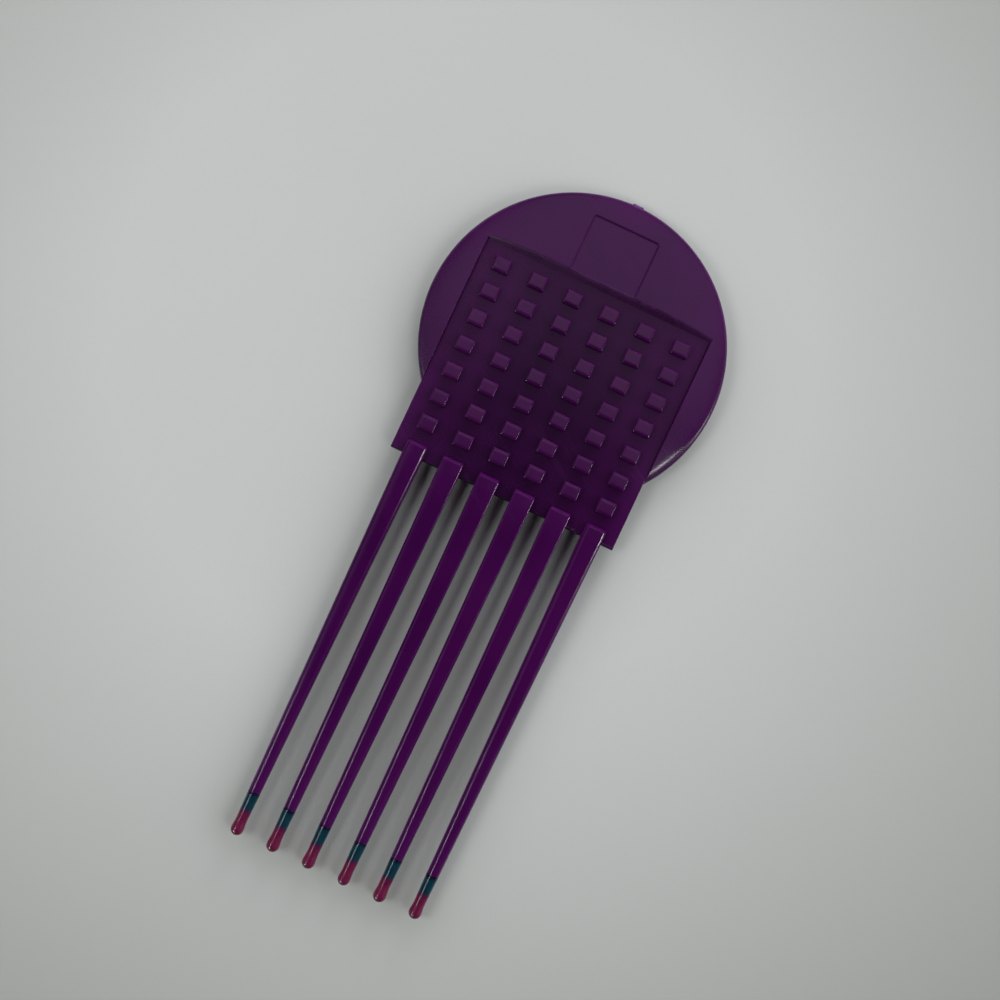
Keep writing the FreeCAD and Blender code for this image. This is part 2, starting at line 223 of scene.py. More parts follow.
SPOT_AZIMUTH = -14.5
SPOT_HEIGHT_ANGLE = 55
SPOT_DISTANCE = 1.1
SPOT_POWER = 14.0
SPOT_SOURCE_RADIUS = 0.004
SPOT_CONE = 1.0


class Number:
    """A number worked out inside a node tree, so that a rule reads as a sum."""

    def __init__(self, tree, socket):
        self.tree = tree
        self.socket = socket

    def worked(self, operation, *others):
        node = self.tree.nodes.new("ShaderNodeMath")
        node.operation = operation
        for socket, value in zip(node.inputs, (self,) + others):
            plug(self.tree, socket, value)
        return Number(self.tree, node.outputs[0])

    def __add__(self, other):
        return self.worked("ADD", other)

    def __sub__(self, other):
        return self.worked("SUBTRACT", other)

    def __mul__(self, other):
        return self.worked("MULTIPLY", other)

    def __truediv__(self, other):
        return self.worked("DIVIDE", other)

    def sign(self):
        return self.worked("SIGN")

    def size(self):
        return self.worked("ABSOLUTE")

    def least(self, other):
        return self.worked("MINIMUM", other)

    def most(self, other):
        return self.worked("MAXIMUM", other)

    def rest(self):
        """What is left of one."""
        return self * -1.0 + 1.0

    def held(self):
        return self.most(0.0).least(1.0)

    def toward(self, end, share):
        return self + (end - self) * share


def plug(tree, socket, value):
    """Links a socket to a worked number or another socket, or sets it."""
    if isinstance(value, Number):
        value = value.socket
    if isinstance(value, bpy.types.NodeSocket):
        tree.links.new(value, socket)
    else:
        socket.default_value = value


def add_node(tree, kind, inputs=(), **settings):
    """A node with its settings, and its inputs by identifier or number."""
    node = tree.nodes.new(kind)
    for name, value in settings.items():
        setattr(node, name, value)
    for name, value in dict(inputs).items():
        socket = node.inputs[name] if isinstance(name, int) else None
        for candidate in node.inputs:
            if candidate.identifier == name:
                socket = candidate
        plug(tree, socket, value)
    return node


def vector_steps(tree, start, steps):
    """Vector maths with a chain of (operation, value) steps."""
    for operation, value in steps:
        node = tree.nodes.new("ShaderNodeVectorMath")
        node.operation = operation
        plug(tree, node.inputs[0], start)
        if value is not None:
            plug(tree, node.inputs[1], value)
        start = node.outputs[0]
    return start


def split(tree, vector):
    parts = add_node(tree, "ShaderNodeSeparateXYZ", {"Vector": vector})
    return [Number(tree, socket) for socket in parts.outputs]


def joined(tree, x, y, z):
    return add_node(tree, "ShaderNodeCombineXYZ", {"X": x, "Y": y, "Z": z}).outputs[0]


# Materials

def new_material(name):
    material = bpy.data.materials.new(name)
    material.use_nodes = True
    tree = material.node_tree
    return material, tree, tree.nodes["Principled BSDF"]


def speckle(tree, place, scale, detail=3.0, stretch=None, turn=0.0):
    """Noise from 0 to 1 at a place, drawn out by a stretch along turned axes if asked."""
    if stretch:
        turned = {"Vector": place, "Scale": stretch, "Rotation": (0.0, 0.0, turn)}
        place = add_node(tree, "ShaderNodeMapping", turned, vector_type="TEXTURE").outputs[0]
    node = add_node(tree, "ShaderNodeTexNoise", {"Vector": place, "Scale": scale, "Detail": detail})
    return Number(tree, node.outputs[0])


def between(tree, share, low, high):
    """The share of the way from low to high, held between 0 and 1."""
    node = add_node(tree, "ShaderNodeMapRange", {"Value": share, "From Min": low, "From Max": high})
    return Number(tree, node.outputs[0])


def blend_colour(tree, share, first, second):
    node = add_node(tree, "ShaderNodeMix", {0: share, 6: first, 7: second}, data_type="RGBA")
    return node.outputs[2]


def bumped(tree, shader, height, depth, strength):
    node = add_node(tree, "ShaderNodeBump", {"Height": height, "Distance": depth, "Strength": strength})
    plug(tree, shader.inputs["Normal"], node.outputs[0])


def surface_place(tree):
    return tree.nodes.new("ShaderNodeTexCoord").outputs["Object"]


def mark(tree, name):
    """A number that the mesh carries at each point."""
    return Number(tree, add_node(tree, "ShaderNodeAttribute", attribute_name=name).outputs["Fac"])


def panel_painted_light(tree, place):
    """Share of painted light on the panel floor: a paler tone toward its sides and top, more on the sides
    below the disc, where there is less shade than between the studs.
    """
    across, along, _ = split(tree, place)
    side = between(tree, across.size(), 9.0 * MM, PLATE_SIDE)
    top = between(tree, along, PLATE_TOP - 18.0 * MM, PLATE_TOP - 4.0 * MM)
    open_side = between(tree, across.size(), PLATE_SIDE - 4.5 * MM, PLATE_SIDE - 1.0 * MM)
    open_side *= between(tree, along, PLATE_BOTTOM + 27.0 * MM, PLATE_BOTTOM + 20.0 * MM)
    return (side * 0.55 + top * 0.25 + open_side * 0.3).held()


def tine_ends(tree, place):
    """Share of the paler tone on the tines, which grows toward their thin ends."""
    along = split(tree, place)[1]
    return between(tree, along, BAND_START + 34.0 * MM, BAND_START + 4.0 * MM) * 0.9


def moulded_purple(name, deep, light, rough, shine, worn, paler=None):
    """Moulded purple plastic with flow marks, handling scuffs, paler rubbed edges, and where asked a paler
    tone: painted light on the panel's margins, and paler toward the tines' thin ends.
    """
    material, tree, shader = new_material(name)
    place = surface_place(tree)
    cloud = speckle(tree, place, 55.0, 4.0)
    flow = speckle(tree, place, 90.0, 3.0, (1.0, 4.0, 1.0), 0.5)
    grain = speckle(tree, place, 2600.0, 2.0)
    scratches = speckle(tree, place, 240.0, 5.0, (6.0, 0.6, 1.0), -0.62)
    scuff = between(tree, scratches, 0.6, 0.76)
    mottle = between(tree, cloud * 0.7 + flow * 0.3, 0.32, 0.68)
    colour = blend_colour(tree, mottle, deep, light)
    redder = between(tree, mark(tree, "stud_tone"), 0.55, 1.0) * 0.6
    colour = blend_colour(tree, redder, colour, REDDER_PURPLE)
    # The paler tone is painted light on the panel's margins, and a paler tone toward the tines' ends.
    if paler:
        colour = blend_colour(tree, paler(tree, place), colour, PALER_PURPLE)
    patches = between(tree, speckle(tree, place, 420.0, 3.0), 0.3, 0.62)
    rubbed = (mark(tree, "edge_wear") * patches * worn).held()
    colour = blend_colour(tree, rubbed, colour, RUBBED_PURPLE)
    plug(tree, shader.inputs["Base Color"], colour)
    plug(tree, shader.inputs["Roughness"], cloud * 0.16 + grain * 0.08 + scuff * 0.1 + (rough - 0.12))
    bumped(tree, shader, grain * 0.5 + flow * 0.6 - scuff * 0.35, 0.02 * MM, 0.5)
    shader.inputs["IOR"].default_value = 1.49
    shader.inputs["Specular IOR Level"].default_value = shine
    return material


def dip_coat(name, full, thin, speck):
    """Glossy dip paint, thinner and of another shade along its upper edge."""
    material, tree, shader = new_material(name)
    place = surface_place(tree)
    cloud = speckle(tree, place, 700.0, 3.0)
    grain = speckle(tree, place, 5200.0, 2.0)
    drawn = speckle(tree, place, 900.0, 3.0, (1.0, 5.0, 1.0))
    cover = mark(tree, "cover")
    colour = blend_colour(tree, between(tree, cloud * 0.6 + drawn * 0.4, 0.35, 0.66), full, speck)
    colour = blend_colour(tree, between(tree, cover + (cloud - 0.5) * 0.5, 0.25, 0.75), thin, colour)
    plug(tree, shader.inputs["Base Color"], colour)
    plug(tree, shader.inputs["Roughness"], cloud * 0.14 + grain * 0.06 + 0.1)
    bumped(tree, shader, drawn * 0.7 + grain * 0.3, 0.03 * MM, 0.5)
    shader.inputs["Specular IOR Level"].default_value = 0.36
    shader.inputs["Coat Weight"].default_value = 0.15
    shader.inputs["Coat Roughness"].default_value = 0.12
    return material


def pale_table(name):
    """A matt pale surface with painted light and shade: lightest round a place beside the pick, darker far
    from it.
    """
    material, tree, shader = new_material(name)
    place = surface_place(tree)
    cloud = speckle(tree, place, 9.0, 3.0)
    grain = speckle(tree, place, 900.0, 2.0)
    mottle = between(tree, cloud * 0.7 + grain * 0.3, 0.3, 0.7)
    colour = blend_colour(tree, mottle, TABLE_GREY, TABLE_LIGHT_GREY)
    outward = vector_steps(tree, place, [("SUBTRACT", TABLE_PAINTED_LIGHT_PLACE)])
    length = add_node(tree, "ShaderNodeVectorMath", {0: outward}, operation="LENGTH").outputs["Value"]
    # Painted shade: the table darkens with distance from a painted pool of light.
    far = between(tree, length, TABLE_PAINTED_LIGHT_RADIUS, TABLE_PAINTED_SHADE_RADIUS)
    colour = blend_colour(tree, far, colour, TABLE_PAINTED_SHADE_GREY)
    plug(tree, shader.inputs["Base Color"], colour)
    shader.inputs["Roughness"].default_value = 0.7
    shader.inputs["Specular IOR Level"].default_value = 0.2
    return material


satin_purple = moulded_purple("satin_purple", (0.033, 0.0025, 0.042, 1.0), (0.045, 0.0035, 0.054, 1.0),
                              rough=0.28, shine=0.3, worn=0.3)
stud_purple = moulded_purple("stud_purple", (0.033, 0.002, 0.041, 1.0), (0.044, 0.003, 0.052, 1.0),
                             rough=0.2, shine=0.29, worn=0.2)
gloss_purple = moulded_purple("gloss_purple", (0.032, 0.0014, 0.041, 1.0), (0.046, 0.002, 0.056, 1.0),
                              rough=0.15, shine=0.34, worn=0.2, paler=tine_ends)
# The panel's purple is a darker copy of the same plastic: painted shade on the floor between the studs.
panel_shaded_purple = moulded_purple("panel_shaded_purple", (0.019, 0.0006, 0.025, 1.0), (0.027, 0.001, 0.034, 1.0),
                              rough=0.26, shine=0.21, worn=0.2, paler=panel_painted_light)
teal_dip = dip_coat("teal_dip", full=(0.002, 0.018, 0.034, 1.0), thin=(0.004, 0.002, 0.015, 1.0),
                    speck=(0.003, 0.032, 0.046, 1.0))
red_dip = dip_coat("red_dip", full=(0.083, 0.004, 0.03, 1.0), thin=(0.05, 0.006, 0.034, 1.0),
                   speck=(0.115, 0.008, 0.041, 1.0))


# Meshes

def new_piece(name, mesh, material, sharp):
    """A piece at the origin, smooth but for edges sharper than the angle given in degrees."""
    mesh.name = name
    if not mesh.materials:
        mesh.materials.append(material)
    mesh.polygons.foreach_set("use_smooth", [True] * len(mesh.polygons))
    mesh.set_sharp_from_angle(angle=math.radians(sharp))
    piece = bpy.data.objects.new(name, mesh)
    bpy.context.scene.collection.objects.link(piece)
    return piece


def hand_over(piece, node):
    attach(piece, "root")
    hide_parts(node)


def rounding_fall(inset, radius):
    """How far a rounded edge has dropped at a distance in from it."""
    if inset >= radius:
        return 0.0
    return radius - math.sqrt(radius ** 2 - (radius - max(inset, 0.0)) ** 2)


def eased(share):
    """A share from 0 to 1 that starts and ends gently."""
    share = min(max(share, 0.0), 1.0)
    return share * share * (3 - 2 * share)


def stepped(start, end, step):
    """Even places from start to end, about a step apart."""
    count = max(1, round(abs(end - start) / step))
    return [start + (end - start) * k / count for k in range(count + 1)]


def add_block(body, centre, size):
    """Adds a block and gives its corners."""
    place = Matrix.Translation(centre) @ Matrix.Diagonal((*size, 1.0))
    return bmesh.ops.create_cube(body, size=1.0, matrix=place)["verts"]


def round_edges(body, edges, radius, segments):
    bmesh.ops.bevel(body, geom=edges, offset=radius, segments=segments, profile=0.5, affect="EDGES")


# Grip disc

def notch_half(x, y):
    """Height of the notch's walls: a long slant at its top and steep sides, both from the plate up."""
    top = (y - NOTCH_FOOT) / NOTCH_RUN
    side = (abs(x) - PLATE_SIDE) / NOTCH_SIDE_RUN
    return PLATE_THICKNESS / 2 + NOTCH_DEPTH * max(top, side)


def lower_of(first, second, blend):
    """The lower of two heights, with the edge between them rounded."""
    return min(first, second) - max(blend - abs(first - second), 0.0) ** 2 / (4 * blend)


def square_depth_at(x, y):
    """Depth of the sunk square, which has rounded upper corners and sloping sides."""
    side = abs(x) - SQUARE_WIDTH / 2 + SQUARE_CORNER
    rise = y - NOTCH_TOP - SQUARE_LENGTH + SQUARE_CORNER
    outside = math.hypot(max(side, 0.0), max(rise, 0.0)) + min(max(side, rise), 0.0) - SQUARE_CORNER
    return SQUARE_DEPTH * eased(0.5 - outside / (2 * SQUARE_STEP))


def square_line(offset):
    """Points round the sunk square, at an offset out of its edge."""
    side = SQUARE_WIDTH / 2 - SQUARE_CORNER
    top = NOTCH_TOP + SQUARE_LENGTH - SQUARE_CORNER
    bend = SQUARE_CORNER + offset
    right = [(side + bend, y) for y in stepped(SQUARE_LINE_START, top, SQUARE_SPACING)]
    for a in stepped(0.0, math.pi / 2, 0.2)[1:]:
        right.append((side + bend * math.cos(a), top + bend * math.sin(a)))
    over = [(x, top + bend) for x in stepped(side, -side, SQUARE_SPACING)[1:-1]]
    return right + over + [(-x, y) for x, y in reversed(right)]


def rim_width(angle):
    """Width of the rim's rounding at an angle, which is larger over the shoulder at its lower right."""
    off = (math.degrees(angle) - SHOULDER_ANGLE) / SHOULDER_SPREAD
    return RIM_ROUND + SHOULDER_EXTRA * max(1 - off * off, 0.0) ** 2


def face_half(x, y, front):
    """Height of the disc's crowned face over its middle plane."""
    radius = math.hypot(x, y)
    past = max(radius - PLATEAU_RADIUS, 0.0)
    half = FACE - CROWN_RADIUS + math.sqrt(CROWN_RADIUS ** 2 - past ** 2)
    inset = (DISC_RADIUS - radius) * RIM_ROUND / rim_width(math.atan2(y, x))
    half -= rounding_fall(inset, RIM_ROUND)
    return half - square_depth_at(x, y) if front else half


def disc_half(x, y, front):
    """Height of the disc over its middle plane, face and notch together."""
    return max(lower_of(face_half(x, y, front), notch_half(x, y), NOTCH_ROUND), LEAST_HALF)


def clear_of_square(x, y):
    """Whether a place is off the sloping sides of the sunk square."""
    near = (-SQUARE_SPACING, SQUARE_SPACING)
    depths = [square_depth_at(x + dx, y + dy) for dx in near for dy in near]
    return max(depths) - min(depths) < SQUARE_LEVEL


def disc_plan():
    """Outline of the disc with its notch, and the points that its faces are drawn through."""
    corner = math.acos(PLATE_SIDE / DISC_RADIUS)
    rim_angles = stepped(-corner, math.pi + corner, RIM_SPACING)
    rim = [(DISC_RADIUS * math.cos(a), DISC_RADIUS * math.sin(a)) for a in rim_angles]
    low = rim[0][1]
    heights = stepped(low, NOTCH_FOOT, NOTCH_SIDE_SPACING)
    widths = stepped(-PLATE_SIDE, PLATE_SIDE, NOTCH_TOP_SPACING)
    left = [(-PLATE_SIDE, y) for y in heights[1:]]
    top = [(x, NOTCH_FOOT) for x in widths[1:]]
    right = [(PLATE_SIDE, y) for y in heights[-2:0:-1]]
    outline = rim + left + top + right
    inner = []
    for bend in RIM_BENDS:
        for a in rim_angles:
            radius = DISC_RADIUS - rim_width(a) * (1 - math.cos(math.radians(bend)))
            inner.append((radius * math.cos(a), radius * math.sin(a)))
    outermost = DISC_RADIUS - RIM_ROUND - SHOULDER_EXTRA - RIM_TO_RING
    for radius in stepped(outermost, INNERMOST_RING, RING_SPACING):
        for a in stepped(-math.pi / 2, 1.5 * math.pi, min(RING_SPACING / radius, RING_MOST_ANGLE)):
            inner.append((radius * math.cos(a), radius * math.sin(a)))
    inner = [p for p in inner if clear_of_square(*p)
             and (abs(p[0]) > PLATE_SIDE + 2.4 * NOTCH_SIDE_RUN or p[1] > NOTCH_FOOT + 1.4 * NOTCH_RUN)]
    for share in NOTCH_WALL_SHARES:
        side = PLATE_SIDE + share * NOTCH_SIDE_RUN
        foot = NOTCH_FOOT + share * NOTCH_RUN
        inner += [(s * side, y) for s in (-1, 1) for y in [*heights, foot]]
        inner += [(x, foot) for x in widths]
    for share in SQUARE_STEP_SHARES:
        inner += square_line(share * SQUARE_STEP)
    inner = [p for p in inner if math.hypot(*p) < DISC_RADIUS - RIM_CLEARANCE]
    return outline, inner


def make_grip_disc():
    outline, inner = disc_plan()
    plan = [Vector(p) for p in outline + inner]
    points, _, triangles, *_ = delaunay_2d_cdt(plan, [], [list(range(len(outline)))], 1, 1e-7)
    count = len(points)
    places = [(p.x, DISC_PLACE + p.y, MID + disc_half(p.x, p.y, True)) for p in points]
    places += [(p.x, DISC_PLACE + p.y, MID - disc_half(p.x, p.y, False)) for p in points]
    faces = [list(t) for t in triangles]
    sides = {(t[k], t[(k + 1) % 3]) for t in triangles for k in range(3)}
    faces += [[count + v for v in reversed(t)] for t in triangles]
    faces += [[a, count + a, count + b, b] for a, b in sides if (b, a) not in sides]
    mesh = bpy.data.meshes.new("grip_disc")
    mesh.from_pydata(places, [], faces)
    wear = mesh.attributes.new("edge_wear", "FLOAT", "POINT")
    for number, p in enumerate(points):
        rim = 1 - (DISC_RADIUS - p.length) / RIM_ROUND
        notch = 1 - abs(face_half(p.x, p.y, False) - notch_half(p.x, p.y)) / (2 * NOTCH_ROUND)
        worn = max(RIM_WEAR * eased(rim), NOTCH_WEAR * eased(notch))
        wear.data[number].value = worn
        wear.data[count + number].value = worn
    add_gate_mark(mesh)
    return new_piece("grip_disc", mesh, satin_purple, 40)


def add_gate_mark(mesh):
    """The small cut-off stub at the top of the rim where the plastic flowed in."""
    body = bmesh.new()
    body.from_mesh(mesh)
    size = Vector((GATE_WIDTH, 4 * GATE_HEIGHT, GATE_THICKNESS))
    stub = add_block(body, (0, disc_high.y - size.y / 2, MID), size)
    edges = list({edge for vertex in stub for edge in vertex.link_edges})
    round_edges(body, edges, GATE_ROUND, 3)
    wear = body.verts.layers.float["edge_wear"]
    for vertex in body.verts:
        if vertex.co.y > disc_high.y - GATE_HEIGHT and abs(vertex.co.x) < GATE_WIDTH:
            vertex[wear] = GATE_WEAR
    body.to_mesh(mesh)
    body.free()


# Trees for the studs and the tines

def new_tree(name, inputs):
    """A geometry tree with named inputs. inputs is {name: socket type}."""
    tree = bpy.data.node_groups.new(name, "GeometryNodeTree")
    for label, kind in inputs.items():
        tree.interface.new_socket(label, in_out="INPUT", socket_type=kind)
    tree.interface.new_socket("Mesh", in_out="OUTPUT", socket_type="NodeSocketGeometry")
    given = tree.nodes.new("NodeGroupInput")
    values = {label: given.outputs[label] for label in inputs}
    return tree, {label: Number(tree, s) if s.type == "VALUE" else s for label, s in values.items()}


def marked(tree, mesh, name, value):
    """The mesh with a number written at each point."""
    node = add_node(tree, "GeometryNodeStoreNamedAttribute", {"Geometry": mesh, "Name": name, "Value": value},
                    data_type="FLOAT", domain="POINT")
    return node.outputs[0]


def end_tree(tree, mesh, material):
    """Ends a tree with its mesh made real and given the material."""
    real = add_node(tree, "GeometryNodeRealizeInstances", {"Geometry": mesh})
    made = add_node(tree, "GeometryNodeSetMaterial", {"Geometry": real.outputs[0], "Material": material})
    last = tree.nodes.new("NodeGroupOutput")
    tree.links.new(made.outputs[0], last.inputs["Mesh"])


def grown_mesh(tree, values):
    """The mesh that a tree grows from the values given by input name."""
    grower = bpy.data.objects.new(tree.name, bpy.data.meshes.new(tree.name))
    bpy.context.scene.collection.objects.link(grower)
    modifier = grower.modifiers.new(tree.name, "NODES")
    modifier.node_group = tree
    for item in tree.interface.items_tree:
        if item.in_out == "INPUT":
            modifier[item.identifier] = values[item.name]
    view = bpy.context.evaluated_depsgraph_get()
    mesh = bpy.data.meshes.new_from_object(grower.evaluated_get(view))
    grower.modifiers.remove(modifier)
    bpy.data.objects.remove(grower)
    return mesh


def stud_tree():
    """Rows of drafted, rounded studs on both faces, each a little out of true."""
    tree, given = new_tree("stud_field", {
        "Columns": "NodeSocketInt", "Rows": "NodeSocketInt",
        "Column Pitch": "NodeSocketFloat", "Row Pitch": "NodeSocketFloat",
        "Width": "NodeSocketFloat", "Length": "NodeSocketFloat", "Height": "NodeSocketFloat",
        "Draft": "NodeSocketFloat", "Round": "NodeSocketFloat",
        "Floor": "NodeSocketFloat", "Field Centre": "NodeSocketVector",
        "Out of True": "NodeSocketFloat", "Seed": "NodeSocketInt", "Material": "NodeSocketMaterial"})
    columns = Number(tree, given["Columns"])
    rows = Number(tree, given["Rows"])

    block = add_node(tree, "GeometryNodeMeshCube",
                     {"Size": (2.0, 2.0, 2.0), "Vertices X": 10, "Vertices Y": 10, "Vertices Z": 6})
    spot = tree.nodes.new("GeometryNodeInputPosition").outputs[0]
    half_height = (given["Height"] + given["Round"]) * 0.5
    half = joined(tree, given["Width"] * 0.5, given["Length"] * 0.5, half_height)
    crowded = [side.sign() * (side.size().rest() * side.size().rest()).rest() for side in split(tree, spot)]
    cornered = vector_steps(tree, joined(tree, *crowded), [("MULTIPLY", half)])
    bend = joined(tree, given["Round"], given["Round"], given["Round"])
    inner_half = vector_steps(tree, half, [("SUBTRACT", bend)])
    outer = vector_steps(tree, inner_half, [("MULTIPLY", (-1.0, -1.0, -1.0))])
    inner = vector_steps(tree, cornered, [("MINIMUM", inner_half), ("MAXIMUM", outer)])
    way = vector_steps(tree, cornered, [("SUBTRACT", inner), ("NORMALIZE", None)])
    rounded = vector_steps(tree, way, [("MULTIPLY", bend), ("ADD", inner)])
    x, y, z = split(tree, rounded)
    rise = (z / half_height + 1.0) * 0.5
    drawn_in = given["Draft"] * rise
    placed = joined(tree, x - x.sign() * drawn_in, y - y.sign() * drawn_in,
                    z + half_height - given["Round"])
    shaped = add_node(tree, "GeometryNodeSetPosition", {"Geometry": block.outputs[0], "Position": placed})
    across, along, up = [part.size() for part in split(tree, way)]
    worn = (across.most(along).most(up).rest() * 3.4).held() * up.sign()
    stud = marked(tree, shaped.outputs[0], "edge_wear", worn)

    field = add_node(tree, "GeometryNodeMeshGrid",
                     {"Size X": given["Column Pitch"] * (columns - 1.0),
                      "Size Y": given["Row Pitch"] * (rows - 1.0),
                      "Vertices X": given["Columns"], "Vertices Y": given["Rows"]})

    def stray(least, most):
        ends = {"Min": least, "Max": most, "Seed": given["Seed"]}
        return add_node(tree, "FunctionNodeRandomValue", ends, data_type="FLOAT_VECTOR").outputs[0]

    slack = given["Out of True"]
    shift = stray(joined(tree, slack * -1.0, slack * -1.0, 0.0), joined(tree, slack, slack, 0.0))
    turn = stray(tuple(-angle for angle in STUD_TURN), STUD_TURN)
    size = stray(STUD_LEAST_SCALE, STUD_MOST_SCALE)
    tone = add_node(tree, "FunctionNodeRandomValue", {"Seed": given["Seed"]}, data_type="FLOAT")
    toned = marked(tree, field.outputs[0], "stud_tone", tone.outputs[1])
    loose = add_node(tree, "GeometryNodeSetPosition", {"Geometry": toned, "Offset": shift})
    studs = add_node(tree, "GeometryNodeInstanceOnPoints",
                     {"Points": loose.outputs[0], "Instance": stud, "Rotation": turn, "Scale": size})
    front = add_node(tree, "GeometryNodeTransform",
                     {"Geometry": studs.outputs[0], "Translation": joined(tree, 0.0, 0.0, given["Floor"])})
    back = add_node(tree, "GeometryNodeTransform",
                    {"Geometry": studs.outputs[0], "Rotation": (math.pi, 0.0, 0.0),
                     "Translation": joined(tree, 0.0, 0.0, given["Floor"] * -1.0)})
    both = tree.nodes.new("GeometryNodeJoinGeometry")
    tree.links.new(front.outputs[0], both.inputs[0])
    tree.links.new(back.outputs[0], both.inputs[0])
    moved = add_node(tree, "GeometryNodeTransform",
                     {"Geometry": both.outputs[0], "Translation": given["Field Centre"]})
    end_tree(tree, moved.outputs[0], given["Material"])
    return tree


def tine_tree():
    """A tine that goes from a flat-topped root to a round end, and on as the core of its coats."""
    tree, given = new_tree("tapering_tine", {
        "Root Half Width": "NodeSocketFloat", "Root Half Height": "NodeSocketFloat",
        "Root Corner": "NodeSocketFloat", "Root Length": "NodeSocketFloat", "Root Bevel": "NodeSocketFloat",
        "End Radius": "NodeSocketFloat", "Length": "NodeSocketFloat",
        "Core Step": "NodeSocketFloat", "Core Length": "NodeSocketFloat",
        "Bow": "NodeSocketFloat", "Place": "NodeSocketVector",
        "Around": "NodeSocketInt", "Along": "NodeSocketInt", "Material": "NodeSocketMaterial"})
    bar = add_node(tree, "GeometryNodeMeshCylinder",
                   {"Vertices": given["Around"], "Side Segments": given["Along"],
                    "Radius": 1.0, "Depth": 1.0})
    side, up, far = split(tree, tree.nodes.new("GeometryNodeInputPosition").outputs[0])
    share = far + 0.5
    run = share * share * (given["Length"] + given["Core Length"])
    taper = ((run - given["Root Length"]) / (given["Length"] - given["Root Length"])).held()
    step = ((run - given["Length"]) / given["Core Step"]).held() * given["Core Step"]
    cut = (given["Root Bevel"] - run).most(0.0)
    half_width = given["Root Half Width"].toward(given["End Radius"], taper) - step - cut * 0.35
    half_height = given["Root Half Height"].toward(given["End Radius"], taper) - step - cut
    corner = given["Root Corner"].toward(given["End Radius"], taper) - step
    bowed = (share * math.pi).worked("SINE") * given["Bow"]
    x = side.sign() * (half_width - corner) + corner * side + bowed
    z = up.sign() * (half_height - corner) + corner * up
    shaped = add_node(tree, "GeometryNodeSetPosition",
                      {"Geometry": bar.outputs[0], "Position": joined(tree, x, run * -1.0, z)})
    worn = ((side * up).size() * 2.0 * (taper * -0.85 + 1.0)).held()
    rubbed = marked(tree, shaped.outputs[0], "edge_wear", worn)
    moved = add_node(tree, "GeometryNodeTransform", {"Geometry": rubbed, "Translation": given["Place"]})
    end_tree(tree, moved.outputs[0], given["Material"])
    return tree


# Studded plate

def make_studded_plate():
    field_low = PLATE_TOP - STUD_MARGIN - (STUD_ROWS - 1) * STUD_ROW_PITCH
    studs = grown_mesh(stud_tree(), {
        "Columns": TINES, "Rows": STUD_ROWS,
        "Column Pitch": TINE_PLACES[1] - TINE_PLACES[0], "Row Pitch": STUD_ROW_PITCH,
        "Width": STUD_WIDTH, "Length": STUD_LENGTH, "Height": STUD_HEIGHT,
        "Draft": STUD_DRAFT, "Round": STUD_ROUND, "Floor": PLATE_THICKNESS / 2,
        "Field Centre": (0.0, (field_low + PLATE_TOP - STUD_MARGIN) / 2, MID),
        "Out of True": STUD_SHIFT, "Seed": STUD_SEED, "Material": stud_purple})
    plate = bmesh.new()
    size = (2 * PLATE_SIDE, PLATE_TOP - PLATE_BOTTOM, PLATE_THICKNESS)
    add_block(plate, (0, (PLATE_TOP + PLATE_BOTTOM) / 2, MID), size)
    lower = [e for e in plate.edges if all(v.co.y < PLATE_BOTTOM + MM for v in e.verts)
             and abs(e.verts[0].co.x - e.verts[1].co.x) > MM]
    round_edges(plate, lower, PLATE_EDGE_ROUND, 8)
    long_sides = [e for e in plate.edges if abs(e.verts[0].co.y - e.verts[1].co.y) > PLATE_LONG_EDGE
                  and len({f.normal.to_tuple(1) for f in e.link_faces}) == 2]
    round_edges(plate, long_sides, PLATE_SIDE_ROUND, 4)
    floor_faces = set(plate.faces)
    plate.from_mesh(studs)
    for face in plate.faces:
        face.material_index = 0 if face in floor_faces else 1
    mesh = bpy.data.meshes.new("studded_plate")
    plate.to_mesh(mesh)
    plate.free()
    # The panel floor takes the darker purple with painted shade, and the studs take their own.
    mesh.materials.append(panel_shaded_purple)
    mesh.materials.append(stud_purple)
    return new_piece("studded_plate", mesh, panel_shaded_purple, 40)


# Tines

def make_tines():
    tree = tine_tree()
    chance = random.Random(TINE_SEED)
    made = []
    for n, place in enumerate(TINE_PLACES):
        corner = OUTER_ROOT_CORNER if n in (0, TINES - 1) else ROOT_CORNER
        mesh = grown_mesh(tree, {
            "Root Half Width": ROOT_HALF_WIDTH, "Root Half Height": ROOT_HALF_HEIGHT,
            "Root Corner": corner, "Root Length": ROOT_OVERLAP, "Root Bevel": ROOT_BEVEL,
            "End Radius": TINE_END_RADIUS, "Length": ROOT_START - BAND_START,
            "Core Step": CORE_STEP, "Core Length": CORE_LENGTH,
            "Bow": chance.uniform(-TINE_BOW, TINE_BOW), "Place": (place, ROOT_START, MID),
            "Around": TINE_AROUND, "Along": TINE_ALONG, "Material": gloss_purple})
        made.append(new_piece(f"comb_tine_{n + 1}", mesh, gloss_purple, 50))
    return made


# Dipped ends

def uneven(angle, seed, size):
    """How far a dipped edge strays round the tine."""
    round_place = Vector((math.cos(angle), math.sin(angle), seed * 3.7))
    return size * (noise.noise(round_place * 0.9) + 0.45 * noise.noise(round_place * 2.6))


